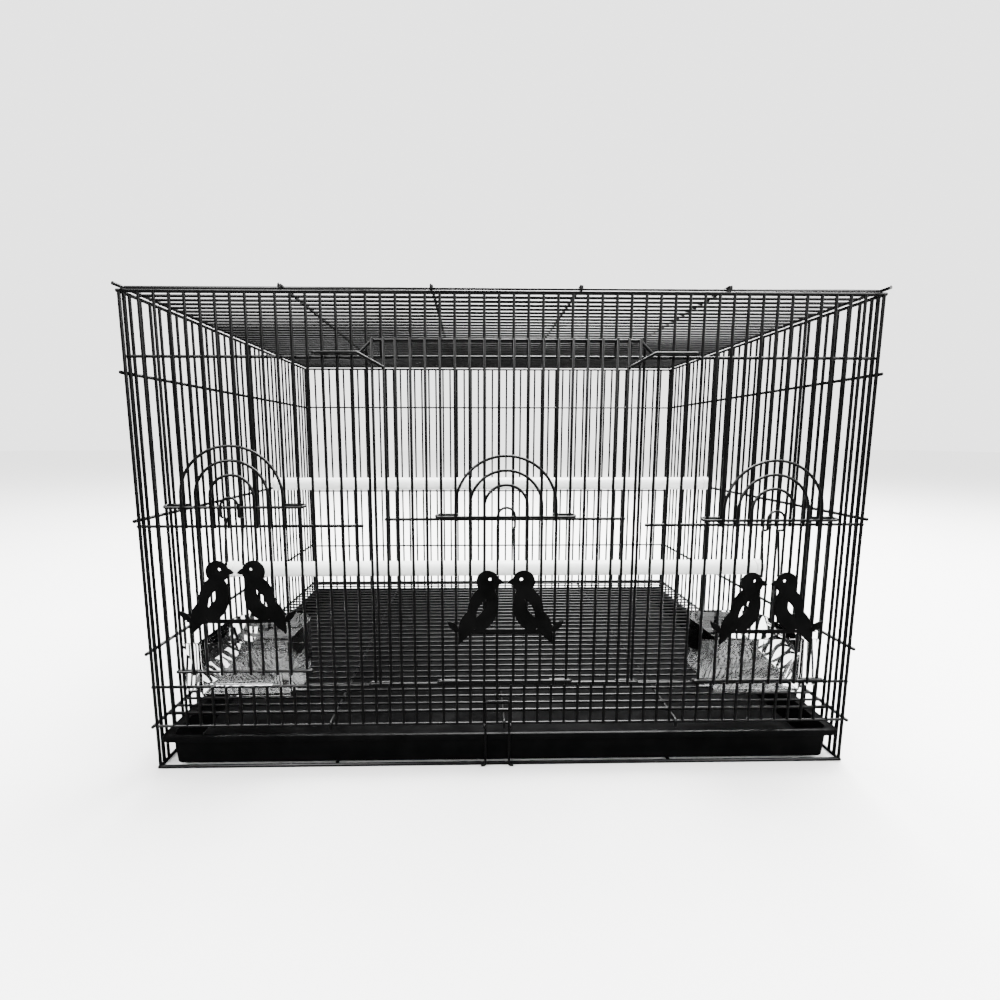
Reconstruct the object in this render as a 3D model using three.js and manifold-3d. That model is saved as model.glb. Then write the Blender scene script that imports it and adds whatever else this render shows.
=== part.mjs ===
// Flat-topped wire bird cage: lifting front door, two feeder doors, cups, perches and a slide-out tray.
// Millimetres. +X to the right, the front faces -Y, +Z up. The cage stands on its base wires at z = 0.
// Inside the cage group y = 0 is the plane of the front wires, and the group is then centred front to back.
import * as THREE from 'three';
import { mergeVertices } from 'three/addons/utils/BufferGeometryUtils.js';
import Module from 'manifold-3d';

const wasm = await Module();
wasm.setup();

// Wires
const gridWire = 2; // upright and floor wires
const crossWire = 2.2; // cross wires, fixed bars and the small doors' bars
const frameWire = 3; // top and base wires
const postWire = 3.2; // corner posts, end posts of the sides and rails of the roof
const grateRail = 2.4; // wire that carries the floor grate
const doorWire = 2.4; // bars of the large door
const catchWire = 1.8; // sprung catch wires
const clipWire = 2; // tray clip

// Clearances and welds
const gap = 0.3; // between neighbouring pieces
const rest = 0.4; // between a hook and the wire that it comes to rest on
const weld = 0.2; // how deep one wire sinks into the other at a weld

// Cage body
const cageWidth = 612;
const frontWires = 50; // uprights of the front and the back
const cornerGap = 15.4; // first and last of them from the corners
const pitch = 12; // spacing of the side, roof and floor wires
const sideGaps = 34;
const topZ = 407; // centre of the top frame wires
const baseReachPastPost = 0.3; // base wires end a little outside the corner posts
const crossOverhang = 5; // cross wires stand past the corners
const postInset = 0.6; // front and back corner posts stand in from the side wires
const sidePostSetback = 6; // side panel's end post from the front plane
const cornerSpace = 2; // side rails start this far behind the front wires

// Heights of the cross wires
const stopDrop = 50; // wire above the doors, below the top
const fixedBarZ = 218; // short bars beside the large door
const sillZ = 75; // wire below the doors
const grateZ = 40; // wire that carries the floor grate
const sideUpperDrop = 63; // below the top
const sideMiddleZ = 223;
const sideLowerZ = 107;
const backMiddleZ = 203;

// Front openings, counted in wires from the left
const doorFirstIndex = 16;
const doorLastIndex = 35;
const feederGaps = 9;
const leftFeederIndex = 2;
const rightFeederIndex = 40;
const barShort = 4.8; // fixed bars stop this far past their last wire
const barSpareWires = 1; // their last wire is this many short of the doorway

// Large door
const largeTopRise = 12.3; // top bar above the wire over the doors
const largeCrossZ = 224.5;
const largeEdgeInset = 5.3; // edge wires stand in from the wires that the hooks run on
const largeRegularColumns = 3; // beside the small opening, as wide as the front's spacing
const largeNarrowColumns = 2; // between those and the edge
const crossBarOverhang = 2.5; // past the upright next to the edge
const earRise = 1.5; // ears above the same wire
const earLength = 46;
const earWidth = 6;
const earSlope = 11;

// Hooked ends of the door bars
const hookReturn = 14;
const hookShift = 1.8;
const hookTipOffset = 1.5;
const bendSteps = 5;

// Small lift doors
const barRise = 143.3; // lower bar to upper bar
const bowGaps = [7, 5, 3]; // widths of the nested bows, in spaces of the front wires
const bowLift = 9.2; // bow centres above the upper bar
const bowSteps = 12;
const plateCurveSteps = 4; // straight pieces for each curve of a plate's outline
const legOverhang = 2;
const leftDoorRaise = 12.3; // the left feeder door is photographed slightly up

// Catches
const catchHalfWidth = 6.2;
const catchReach = 6; // in front of the bars
const catchCentreLift = 2.5;
const catchSteps = 8;
const kinkDrop = 9.5; // below the upper bar
const kinkRound = 1.5;
const kinkSetback = 0.5; // kinks stay in front of the wires behind them
const catchSeatRise = 8;

// Bird plates: two birds that face each other on a leafy twig
const plateThick = 1.2;
const plateDrop = 44; // top of the plate below the upper bar
const twigHalf = 44;
const twigThick = 3.6;
const twigHeight = 11;
const twigBow = 2;
const birdBodyX = 19;
const birdBodyY = 31;
const birdBodyWide = 12.5;
const birdBodyTall = 19.5;
const birdLean = 0.22; // radians
const headX = 15;
const headY = 54;
const headRadius = 9.5;
const beakLong = 4.2;
const beakDeep = 5;
const eyeRadius = 1.3;
const eyeX = 13;
const eyeY = 56;
const tailTipX = 37;
const tailTipY = 0;
const tailWide = 6.5;
const wingLong = 17;
const wingSlit = 1.5;
const leafLong = 13;
const leafWide = 5.5;
const leafTilt = 0.75; // radians
const leafInset = 5; // leaves grow this far in from the twig's ends

// Tray
const trayDepthClear = 2; // behind the tray
const traySideClear = 0.4;
const trayRimZ = 31;
const traySheet = 2;
const trayRimSheet = 1.6;
const trayLip = 6.6; // rim stands out past the walls
const traySkirt = 4;
const trayRimRound = 10;
const trayWallRound = 3;
const runnerX = 150;
const runnerWire = 2.8;

// Tray clip
const clipX = -6;
const clipHalfWidth = 10.5;
const clipTopZ = 62;
const clipFoot = 4;
const clipEye = 2.4; // how far the eyes stand out round the grate wire
const clipEyeHalf = 3;
const clipFootZ = 1.5;
const clipClear = 0.6; // in front of the base wire

// Cups
const cupX = 228;
const cupHalfWidth = 40;
const cupDepth = 72;
const cupRimZ = 114;
const cupFootZ = 63.5;
const cupSheet = 1.6;
const cupRound = 22;
const cupFlangeHalf = 54.5;
const cupFlangeZ = 71;
const cupLedgeHalf = 24;
const cupLedgeReach = 3;
const cupLedgeThick = 2;

// Perches
const perchRadius = 8.5;
const perchSides = 16;
const perchEndThick = 7;
const perchEndRadius = 9.2;
const prongLong = 5;
const prongThick = 2.2;
const prongTall = 9;
const upperPerchIndex = 22; // side wire that the upper perch clips to, counted from the front
const lowerPerchIndex = 11;
const lowerPerchZ = 144;

// Roof and floor grate
const roofSupportX = [-180, -60, 60, 180];
const roofRailInset = 2;
const roofEndSetback = 4;
const tipDrop = 4;
const grateSupportShares = [-0.25, 0.25];
const grateSideClear = 1;
const grateOverhang = 1;

// Worked out from the sizes above
const frontPitch = (cageWidth - 2 * cornerGap) / (frontWires - 1);
const cageDepth = pitch * sideGaps;
const half = cageWidth / 2;
const frameHalf = frameWire / 2;
const postHalf = postWire / 2;
const behind = gridWire / 2 + gap + crossWire / 2; // cross wires lie this far behind the uprights
const sideCrossX = half + behind;
const postX = half - postInset;
const baseReach = postX + postHalf + baseReachPastPost;
const stopZ = topZ - stopDrop;
const sideUpperZ = topZ - sideUpperDrop;
const largeTopZ = stopZ + largeTopRise;
const earZ = stopZ + earRise;
const wireX = (n) => cornerGap - half + (n - 1) * frontPitch;
const doorX = (wireX(doorFirstIndex) + wireX(doorLastIndex)) / 2;
const doorHalf = (wireX(doorLastIndex) - wireX(doorFirstIndex)) / 2;
const feederHalf = (feederGaps * frontPitch) / 2;
const leftFeederX = wireX(leftFeederIndex) + feederHalf;
const rightFeederX = wireX(rightFeederIndex) + feederHalf;
const largePlane = -(frameHalf + rest + crossWire + gap + gridWire / 2); // the large door's uprights
const largeBarY = largePlane + gridWire / 2 + doorWire / 2 - weld;
const largeHookY = gridWire / 2 + gap + doorWire / 2; // its hooks pass behind the front wires
const largeBottomZ = sillZ + crossWire / 2 + rest + doorWire / 2 + hookTipOffset;
const feederLowerZ = sillZ + crossWire / 2 + rest + crossWire / 2 + hookTipOffset;
const centreLowerZ = largeBottomZ + doorWire / 2 + rest + crossWire / 2 + hookTipOffset;
const doorBars = gridWire / 2 + gap + crossWire / 2; // small doors' bars in front of the wires they hook on
const doorLegs = doorBars + (crossWire + gridWire) / 2 - weld;
const plateBack = doorLegs + gridWire / 2 + gap;
const plateMiddle = plateBack + plateThick / 2;
const catchFront = doorBars + catchReach;
const clipY = -(frameHalf + clipClear + clipWire / 2);
const cupFlangeY = behind + crossWire / 2 + rest;
const frontReach = -largePlane + catchFront + catchWire / 2;
const backReach = cageDepth + crossOverhang;

// Materials
const blackWire = new THREE.MeshStandardMaterial({ color: 0x161616, roughness: 0.38, metalness: 0.6 });
const blackSheet = new THREE.MeshStandardMaterial({ color: 0x141414, roughness: 0.45, metalness: 0.5 });
const blackPlastic = new THREE.MeshStandardMaterial({ color: 0x111214, roughness: 0.35, metalness: 0 });
const whitePlastic = new THREE.MeshStandardMaterial({ color: 0xf1f3ef, roughness: 0.4, metalness: 0 });
const clearPlastic = new THREE.MeshStandardMaterial({
  color: 0xdde3e4, roughness: 0.12, metalness: 0, transparent: true, opacity: 0.35,
});

// Joins and cuts
function solidOf(geometry) {
  const bare = geometry.clone();
  bare.deleteAttribute('normal');
  bare.deleteAttribute('uv');
  const merged = mergeVertices(bare);
  return new wasm.Manifold(new wasm.Mesh({
    numProp: 3,
    vertProperties: new Float32Array(merged.attributes.position.array),
    triVerts: new Uint32Array(merged.index.array),
  }));
}

function geometryOf(solid) {
  const mesh = solid.getMesh();
  const geometry = new THREE.BufferGeometry();
  geometry.setAttribute('position', new THREE.BufferAttribute(new Float32Array(mesh.vertProperties), 3));
  geometry.setIndex(new THREE.BufferAttribute(new Uint32Array(mesh.triVerts), 1));
  geometry.computeVertexNormals();
  return geometry;
}

function fuse(geometries) {
  return geometryOf(geometries.map(solidOf).reduce((whole, piece) => whole.add(piece)));
}

function cut(geometry, holes) {
  return geometryOf(holes.map(solidOf).reduce((whole, hole) => whole.subtract(hole), solidOf(geometry)));
}

// Straight pieces
function block(x0, x1, y0, y1, z0, z1) {
  const box = new THREE.BoxGeometry(x1 - x0, y1 - y0, z1 - z0);
  return box.translate((x0 + x1) / 2, (y0 + y1) / 2, (z0 + z1) / 2);
}

function wireAlongX(x0, x1, y, z, size) {
  return block(x0, x1, y - size / 2, y + size / 2, z - size / 2, z + size / 2);
}

function wireAlongY(x, y0, y1, z, size) {
  return block(x - size / 2, x + size / 2, y0, y1, z - size / 2, z + size / 2);
}

function wireAlongZ(x, y, z0, z1, size) {
  return block(x - size / 2, x + size / 2, y - size / 2, y + size / 2, z0, z1);
}

// A path through chosen points. Its sections keep to one side, or turn with it without twisting
class WirePath extends THREE.Curve {
  constructor(points, side, turning) {
    super();
    this.points = points;
    this.side = side;
    this.turning = turning;
  }

  getSpacedPoints() {
    return this.points;
  }

  computeFrenetFrames() {
    const last = this.points.length - 1;
    const tangents = this.points.map((point, i) => {
      const before = this.points[Math.max(i - 1, 0)];
      const after = this.points[Math.min(i + 1, last)];
      const into = point.clone().sub(before).normalize();
      const onward = after.clone().sub(point).normalize();
      return into.add(onward).normalize();
    });
    const normals = [];
    tangents.forEach((tangent, i) => {
      const carried = (i && this.turning ? normals[i - 1] : this.side).clone();
      normals.push(carried.addScaledVector(tangent, -carried.dot(tangent)).normalize());
    });
    const binormals = tangents.map((tangent, i) => tangent.clone().cross(normals[i]));
    return { tangents, normals, binormals };
  }
}

function bentWire(points, size, side, turning = false) {
  const section = new THREE.Shape();
  section.moveTo(-size / 2, -size / 2);
  section.lineTo(size / 2, -size / 2);
  section.lineTo(size / 2, size / 2);
  section.lineTo(-size / 2, size / 2);
  return new THREE.ExtrudeGeometry(section, {
    extrudePath: new WirePath(points, side, turning), steps: points.length - 1, bevelEnabled: false,
  });
}

const alongX = new THREE.Vector3(1, 0, 0);
const alongY = new THREE.Vector3(0, 1, 0);
const alongZ = new THREE.Vector3(0, 0, 1);

function point(x, y, z) {
  return new THREE.Vector3(x, y, z);
}

function range(count) {
  return Array.from({ length: count }, (_, i) => i);
}

// Which stretches of a front upright are there: the openings interrupt it
function uprightSpans(n) {
  const inDoor = n > doorFirstIndex && n < doorLastIndex;
  const inFeeder = [leftFeederIndex, rightFeederIndex].some(
    (first) => n > first && n < first + feederGaps);
  if (!inDoor && !inFeeder) return [[grateZ, topZ]];
  const head = inDoor ? stopZ : fixedBarZ;
  return [[grateZ, sillZ + crossWire / 2], [head - crossWire / 2, topZ]];
}

function frontPanel() {
  const cross = half + crossOverhang - postInset;
  const wires = [
    wireAlongX(-half - frameWire, half + frameWire, 0, topZ, frameWire),
    wireAlongX(-baseReach, baseReach, 0, frameHalf, frameWire),
    wireAlongX(-postX, postX, 0, grateZ, grateRail),
    wireAlongX(-cross, cross, behind, stopZ, crossWire),
    wireAlongX(-cross, cross, behind, sillZ, crossWire),
    wireAlongX(-cross, wireX(doorFirstIndex - barSpareWires) + barShort, behind, fixedBarZ, crossWire),
    wireAlongX(wireX(doorLastIndex + barSpareWires) - barShort, cross, behind, fixedBarZ, crossWire),
    wireAlongZ(-postX, 0, frameHalf, topZ, postWire),
    wireAlongZ(postX, 0, frameHalf, topZ, postWire),
  ];
  for (let n = 1; n <= frontWires; n += 1) {
    for (const [low, high] of uprightSpans(n)) wires.push(wireAlongZ(wireX(n), 0, low, high, gridWire));
  }
  return fuse(wires);
}

function backPanel() {
  const wires = [
    wireAlongX(-half - frameWire, half + frameWire, cageDepth, topZ, frameWire),
    wireAlongX(-baseReach, baseReach, cageDepth, frameHalf, frameWire),
    wireAlongZ(-postX, cageDepth, frameHalf, topZ, postWire),
    wireAlongZ(postX, cageDepth, frameHalf, topZ, postWire),
    wireAlongX(-postX, postX, cageDepth - behind, grateZ, crossWire),
    ...[sideUpperZ, backMiddleZ, sideLowerZ].map(
      (z) => wireAlongX(-postX, postX, cageDepth - behind, z, crossWire)),
  ];
  for (let n = 1; n <= frontWires; n += 1) {
    wires.push(wireAlongZ(wireX(n), cageDepth, frameHalf, topZ, gridWire));
  }
  return fuse(wires);
}

function sidePanel(side) {
  const x = side * half;
  const ends = [sidePostSetback, cageDepth - sidePostSetback];
  const wires = [
    wireAlongY(x, cornerSpace, cageDepth - cornerSpace, topZ, frameWire),
    wireAlongY(x, cornerSpace, cageDepth - cornerSpace, frameHalf, frameWire),
    ...ends.map((y) => wireAlongZ(x, y, frameHalf, topZ, postWire)),
    ...[sideUpperZ, sideMiddleZ, sideLowerZ, grateZ].map(
      (z) => wireAlongY(side * sideCrossX, -crossOverhang, cageDepth + crossOverhang, z, crossWire)),
  ];
  for (let n = 1; n < sideGaps; n += 1) {
    wires.push(wireAlongZ(x, n * pitch, frameHalf, topZ, gridWire));
  }
  return fuse(wires);
}

function roofPanel() {
  const railX = half - roofRailInset;
  const railZ = topZ + frameHalf + gap + postHalf;
  const supportZ = railZ + gridWire / 2 + gap + crossWire / 2;
  const ends = [roofEndSetback, cageDepth - roofEndSetback];
  const wires = [
    ...[-railX, railX].map((x) => wireAlongY(x, ends[0], ends[1], railZ, postWire)),
    ...ends.map((y) => wireAlongX(-railX, railX, y, railZ, frameWire)),
  ];
  for (let n = 1; n < sideGaps; n += 1) {
    wires.push(wireAlongX(-railX, railX, n * pitch, railZ, gridWire));
  }
  for (const x of roofSupportX) {
    wires.push(wireAlongY(x, -frameHalf, cageDepth + frameHalf, supportZ, crossWire));
    for (const y of [crossWire / 2 - frameHalf, cageDepth - crossWire / 2 + frameHalf]) {
      wires.push(wireAlongZ(x, y, supportZ - tipDrop, supportZ, gridWire));
    }
  }
  return fuse(wires);
}

function floorGrate() {
  const outerZ = grateZ + grateRail / 2 + gap + crossWire / 2;
  const wireZ = outerZ + crossWire / 2 + gap + gridWire / 2;
  const middleZ = wireZ - gridWire / 2 - crossWire / 2 + weld;
  const reach = half - gridWire / 2 - grateSideClear;
  const backEnd = cageDepth - frameHalf - gap;
  const wires = [wireAlongY(0, -grateOverhang, backEnd, middleZ, crossWire)];
  for (const share of grateSupportShares) {
    wires.push(wireAlongY(share * cageWidth, -grateOverhang, backEnd, outerZ, crossWire));
  }
  for (let n = 1; n < sideGaps; n += 1) {
    const thick = n === 1 || n === sideGaps - 1;
    wires.push(wireAlongX(-reach, reach, n * pitch, wireZ, thick ? frameWire : gridWire));
  }
  return fuse(wires);
}

function baseRunner(x) {
  return wireAlongY(x, frameHalf + gap, cageDepth - frameHalf - gap, frameHalf, runnerWire);
}

// A bar whose ends turn round the wires at x = +-reach and come back behind them
function hookedBar(centreX, reach, frontY, backY, z, tipZ, size) {
  const bend = (backY - frontY) / 2;
  const middle = (backY + frontY) / 2;
  const end = range(bendSteps + 1).map((i) => {
    const angle = -Math.PI / 2 + (Math.PI * i) / bendSteps;
    const height = z + ((tipZ - z) * i) / bendSteps;
    return point(reach + hookShift + bend * Math.cos(angle), middle + bend * Math.sin(angle), height);
  });
  end.push(point(reach - hookReturn, backY, tipZ));
  const start = end.map((p) => point(-p.x, p.y, p.z)).reverse();
  return bentWire([...start, ...end].map((p) => p.add(point(centreX, 0, 0))), size, alongZ);
}

// Ear beside the top corner of the large door: a flat hairpin that comes back to the edge wire
function ear(side) {
  const edge = doorHalf - largeEdgeInset;
  const bend = earWidth / 2;
  const outer = edge + earLength - bend;
  const turn = range(bendSteps + 1).map((i) => {
    const angle = Math.PI / 2 - (Math.PI * i) / bendSteps;
    return point(outer + bend * Math.cos(angle), largeBarY - bend + bend * Math.sin(angle), earZ);
  });
  const points = [
    point(edge - doorWire, largeBarY, largeTopZ),
    point(edge, largeBarY, largeTopZ),
    point(edge + earSlope, largeBarY, earZ),
    ...turn,
    point(edge + earSlope, largeBarY - earWidth, earZ),
    point(edge, largePlane - gridWire / 2, earZ),
  ];
  return bentWire(points.map((p) => point(doorX + side * p.x, p.y, p.z)), crossWire, alongZ);
}

function largeDoor() {
  const edge = doorHalf - largeEdgeInset;
  const regularEnd = feederHalf + largeRegularColumns * frontPitch;
  const narrowStep = (edge - regularEnd) / largeNarrowColumns;
  const sideOffsets = [
    ...range(largeRegularColumns).map((n) => feederHalf + n * frontPitch),
    ...range(largeNarrowColumns + 1).map((n) => regularEnd + n * narrowStep),
  ];
  const uprightTop = largeTopZ + doorWire / 2 + weld;
  const uprightBottom = largeBottomZ - doorWire / 2 - weld;
  const crossReach = edge - narrowStep + crossBarOverhang;
  const wires = [
    wireAlongX(doorX - edge, doorX + edge, largeBarY, largeTopZ, doorWire),
    wireAlongX(doorX - crossReach, doorX + crossReach, largeBarY, largeCrossZ, doorWire),
    hookedBar(doorX, doorHalf, largeBarY, largeHookY, largeBottomZ, largeBottomZ - hookTipOffset, doorWire),
    ear(-1),
    ear(1),
  ];
  for (const offset of sideOffsets) {
    for (const x of [doorX - offset, doorX + offset]) {
      wires.push(wireAlongZ(x, largePlane, uprightBottom, uprightTop, gridWire));
    }
  }
  for (let n = 1; n < feederGaps; n += 1) {
    const x = doorX - feederHalf + n * frontPitch;
    wires.push(wireAlongZ(x, largePlane, largeCrossZ - doorWire / 2 - weld, uprightTop, gridWire));
  }
  return fuse(wires);
}

// A nested bow: an upside-down U whose legs reach past the lower bar
function bow(centreX, y, radius, centreZ, footZ) {
  const arch = range(bowSteps + 1).map((i) => {
    const angle = Math.PI - (Math.PI * i) / bowSteps;
    return point(centreX + radius * Math.cos(angle), y, centreZ + radius * Math.sin(angle));
  });
  const points = [point(centreX - radius, y, footZ), ...arch, point(centreX + radius, y, footZ)];
  return bentWire(points, gridWire, alongY);
}

// A small lift door that hooks on the wires at planeY. Two short legs end behind the birds' heads
function liftDoor(centreX, planeY, lowerZ) {
  const barY = planeY - doorBars;
  const backY = planeY + doorBars;
  const upperZ = lowerZ + barRise;
  return fuse([
    hookedBar(centreX, feederHalf, barY, backY, lowerZ, lowerZ - hookTipOffset, crossWire),
    hookedBar(centreX, feederHalf, barY, backY, upperZ, upperZ + hookTipOffset, crossWire),
    ...bowGaps.map((gaps) => bow(
      centreX, planeY - doorLegs, (gaps * frontPitch) / 2, upperZ + bowLift, lowerZ - legOverhang)),
    ...[-catchHalfWidth, catchHalfWidth].map((x) => wireAlongZ(
      centreX + x, planeY - doorLegs, lowerZ - legOverhang, plateBottomZ(lowerZ) + headY, gridWire)),
  ]);
}

// Where a catch leg meets the birds' heads, up from the bottom of the plate
const catchSeat = headY + Math.sqrt(headRadius ** 2 - (headX - catchHalfWidth - catchWire / 2) ** 2);
const plateTall = headY + headRadius;

function plateBottomZ(lowerZ) {
  return lowerZ + barRise - plateDrop - plateTall;
}

// A sprung wire: a loop in front of the upper bar, kinks behind it and legs down to the plate
function catchLoop(centreX, planeY, lowerZ) {
  const upperZ = lowerZ + barRise;
  const seatZ = plateBottomZ(lowerZ) + catchSeat + gap;
  const frontY = planeY - catchFront;
  const kinkY = planeY - gridWire / 2 - gap - kinkSetback - catchWire / 2;
  const seatY = planeY - plateMiddle;
  const kinkZ = upperZ - kinkDrop;
  const leg = [
    point(-catchHalfWidth, seatY, seatZ),
    point(-catchHalfWidth, seatY, seatZ + catchSeatRise),
    point(-catchHalfWidth, kinkY, kinkZ - kinkRound),
    point(-catchHalfWidth, kinkY, kinkZ + kinkRound),
    point(-catchHalfWidth, frontY, kinkZ + 2 * kinkRound),
    point(-catchHalfWidth, frontY, kinkZ + 4 * kinkRound),
  ];
  const loop = range(catchSteps + 1).map((i) => {
    const angle = Math.PI - (Math.PI * i) / catchSteps;
    const height = upperZ + catchCentreLift + catchHalfWidth * Math.sin(angle);
    return point(catchHalfWidth * Math.cos(angle), frontY, height);
  });
  const down = leg.map((p) => point(-p.x, p.y, p.z)).reverse();
  const points = [...leg, ...loop, ...down].map((p) => p.add(point(centreX, 0, 0)));
  return bentWire(points, catchWire, alongX, true);
}

// Plate outlines are drawn in x and y, with y up from the bottom of the plate
function sheetOf(shape) {
  return new THREE.ExtrudeGeometry(shape, {
    depth: plateThick, bevelEnabled: false, curveSegments: plateCurveSteps,
  });
}

function ellipse(x, y, wide, tall, turn) {
  const shape = new THREE.Shape();
  shape.absellipse(x, y, wide, tall, 0, 2 * Math.PI, false, turn);
  return shape;
}

function leaf(x, y, turn) {
  const along = (s, t) => [
    x + leafLong * s * Math.cos(turn) - leafWide * t * Math.sin(turn),
    y + leafLong * s * Math.sin(turn) + leafWide * t * Math.cos(turn),
  ];
  const shape = new THREE.Shape();
  shape.moveTo(...along(0, 0));
  shape.quadraticCurveTo(...along(0.45, 1), ...along(1, 0));
  shape.quadraticCurveTo(...along(0.45, -1), ...along(0, 0));
  return shape;
}

function twig() {
  const shape = new THREE.Shape();
  shape.moveTo(-twigHalf, twigHeight - twigThick / 2);
  shape.quadraticCurveTo(0, twigHeight - twigThick / 2 - twigBow, twigHalf, twigHeight - twigThick / 2);
  shape.lineTo(twigHalf, twigHeight + twigThick / 2);
  shape.quadraticCurveTo(0, twigHeight + twigThick / 2 - twigBow, -twigHalf, twigHeight + twigThick / 2);
  return shape;
}

function birdPieces(side) {
  const beak = new THREE.Shape();
  beak.moveTo(side * (headX - headRadius / 2), headY + beakDeep / 2);
  beak.quadraticCurveTo(
    side * (headX - headRadius - beakLong / 2), headY + beakDeep / 2,
    side * (headX - headRadius - beakLong), headY - beakDeep / 2);
  beak.lineTo(side * (headX - headRadius / 2), headY - beakDeep / 2);
  const tail = new THREE.Shape();
  tail.moveTo(side * birdBodyX, birdBodyY);
  tail.lineTo(side * (birdBodyX + birdBodyWide), birdBodyY);
  tail.lineTo(side * tailTipX, tailTipY + tailWide / 4);
  tail.lineTo(side * (tailTipX - tailWide), tailTipY);
  const shapes = [
    ellipse(side * birdBodyX, birdBodyY, birdBodyWide, birdBodyTall, side * birdLean),
    ellipse(side * headX, headY, headRadius, headRadius, 0),
    beak,
    tail,
    leaf(side * (twigHalf - leafInset), twigHeight, side > 0 ? leafTilt : Math.PI - leafTilt),
  ];
  return shapes.map((shape) => turned(shape));
}

// Shapes of the mirrored bird run the other way round, so their points are put back in order
function turned(shape) {
  const points = shape.getPoints(plateCurveSteps);
  const distinct = points.filter((p, i) => i === 0 || p.distanceTo(points[i - 1]) > weld / 10);
  if (distinct[0].distanceTo(distinct[distinct.length - 1]) < weld / 10) distinct.pop();
  if (THREE.ShapeUtils.isClockWise(distinct)) distinct.reverse();
  return sheetOf(new THREE.Shape(distinct));
}

function birdHoles(side) {
  const slit = new THREE.Shape();
  const low = birdBodyY - wingLong / 2;
  const high = birdBodyY + wingLong / 2;
  const x = side * birdBodyX;
  const swell = side * birdBodyWide * 0.5;
  slit.moveTo(x, low);
  slit.quadraticCurveTo(x + swell, birdBodyY - wingLong / 4, x + swell / 2, high);
  slit.lineTo(x + swell / 2 - side * wingSlit, high - wingSlit);
  slit.quadraticCurveTo(x + swell - side * wingSlit, birdBodyY - wingLong / 4, x, low);
  return [slit, ellipse(side * eyeX, eyeY, eyeRadius, eyeRadius, 0)].map((shape) => turned(shape));
}

function birdPlate(centreX, planeY, lowerZ) {
  const body = fuse([sheetOf(twig()), ...birdPieces(-1), ...birdPieces(1)]);
  const pierced = cut(body, [...birdHoles(-1), ...birdHoles(1)].map((hole) => {
    const middle = plateThick / 2;
    return hole.translate(0, 0, -middle).scale(1, 1, 2).translate(0, 0, middle);
  }));
  // drawn flat, then stood up with its face towards -Y
  return pierced.rotateX(Math.PI / 2).translate(centreX, planeY - plateBack, plateBottomZ(lowerZ));
}

function roundedSlab(halfWidth, y0, y1, z0, z1, frontRound, backRound) {
  const shape = new THREE.Shape();
  const quarter = Math.PI / 2;
  const corner = (x, y, radius, start) => {
    if (radius) shape.absarc(x, y, radius, start, start + quarter, false);
  };
  shape.moveTo(-halfWidth + frontRound, y0);
  shape.lineTo(halfWidth - frontRound, y0);
  corner(halfWidth - frontRound, y0 + frontRound, frontRound, -quarter);
  shape.lineTo(halfWidth, y1 - backRound);
  corner(halfWidth - backRound, y1 - backRound, backRound, 0);
  shape.lineTo(-halfWidth + backRound, y1);
  corner(-halfWidth + backRound, y1 - backRound, backRound, quarter);
  shape.lineTo(-halfWidth, y0 + frontRound);
  corner(-halfWidth + frontRound, y0 + frontRound, frontRound, 2 * quarter);
  const slab = new THREE.ExtrudeGeometry(shape, {
    depth: z1 - z0, bevelEnabled: false, curveSegments: bendSteps,
  });
  return slab.translate(0, 0, z0);
}

function tray() {
  const width = postX - postHalf - traySideClear;
  const front = -(frameHalf + rest) + gap;
  const back = cageDepth - trayDepthClear;
  const floorZ = frameWire + gap;
  const slab = (inset, round, z0, z1) => roundedSlab(
    width - inset, front + inset, back - inset, z0, z1, round, round);
  const body = fuse([
    slab(0, trayRimRound, trayRimZ - traySkirt, trayRimZ),
    slab(trayLip, trayWallRound, floorZ, trayRimZ - trayRimSheet / 2),
  ]);
  const hollow = slab(
    trayLip + traySheet, trayWallRound - traySheet, floorZ + traySheet, trayRimZ + traySkirt);
  const undercut = cut(
    slab(trayRimSheet, trayRimRound - trayRimSheet,
      trayRimZ - traySkirt - trayRimSheet, trayRimZ - trayRimSheet),
    [slab(trayLip, trayWallRound, trayRimZ - 2 * traySkirt - trayRimSheet, trayRimZ + traySkirt)]);
  return cut(body, [undercut, hollow]);
}

// A tall loop whose feet turn outwards and whose legs step round the grate wire
function trayClip() {
  const eyeY = clipY - clipEye;
  const leg = [
    point(-clipHalfWidth - clipFoot, clipY, clipFootZ),
    point(-clipHalfWidth - clipWire / 2, clipY, clipFootZ),
    point(-clipHalfWidth, clipY, clipFootZ + clipWire / 2),
    point(-clipHalfWidth, clipY, grateZ - clipEyeHalf),
    point(-clipHalfWidth, eyeY, grateZ - clipEyeHalf / 3),
    point(-clipHalfWidth, eyeY, grateZ + clipEyeHalf / 3),
    point(-clipHalfWidth, clipY, grateZ + clipEyeHalf),
    point(-clipHalfWidth, clipY, clipTopZ - clipWire),
    point(-clipHalfWidth + clipWire, clipY, clipTopZ),
  ];
  const other = leg.map((p) => point(-p.x, p.y, p.z)).reverse();
  return bentWire([...leg, ...other].map((p) => p.add(point(clipX, 0, 0))), clipWire, alongZ, true);
}

function cup(centreX) {
  const front = cupFlangeY;
  const bowl = roundedSlab(cupHalfWidth, front, front + cupDepth, cupFootZ, cupRimZ, 0, cupRound);
  const flange = block(-cupFlangeHalf, cupFlangeHalf, front, front + cupSheet, cupFlangeZ, cupRimZ);
  const ledgeZ = sillZ + crossWire / 2 + gap;
  const ledge = block(
    -cupLedgeHalf, cupLedgeHalf, front - cupLedgeReach, front + cupSheet / 2,
    ledgeZ, ledgeZ + cupLedgeThick);
  const hollow = roundedSlab(
    cupHalfWidth - cupSheet, front + cupSheet, front + cupDepth - cupSheet,
    cupFootZ + cupSheet, cupRimZ + cupSheet, 0, cupRound - cupSheet);
  return cut(fuse([bowl, flange, ledge]), [hollow]).translate(centreX, 0, 0);
}

const perchReach = half - gridWire / 2 - gap;
const upperPerchZ = sideMiddleZ + crossWire / 2 + gap + prongTall / 2;

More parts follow.
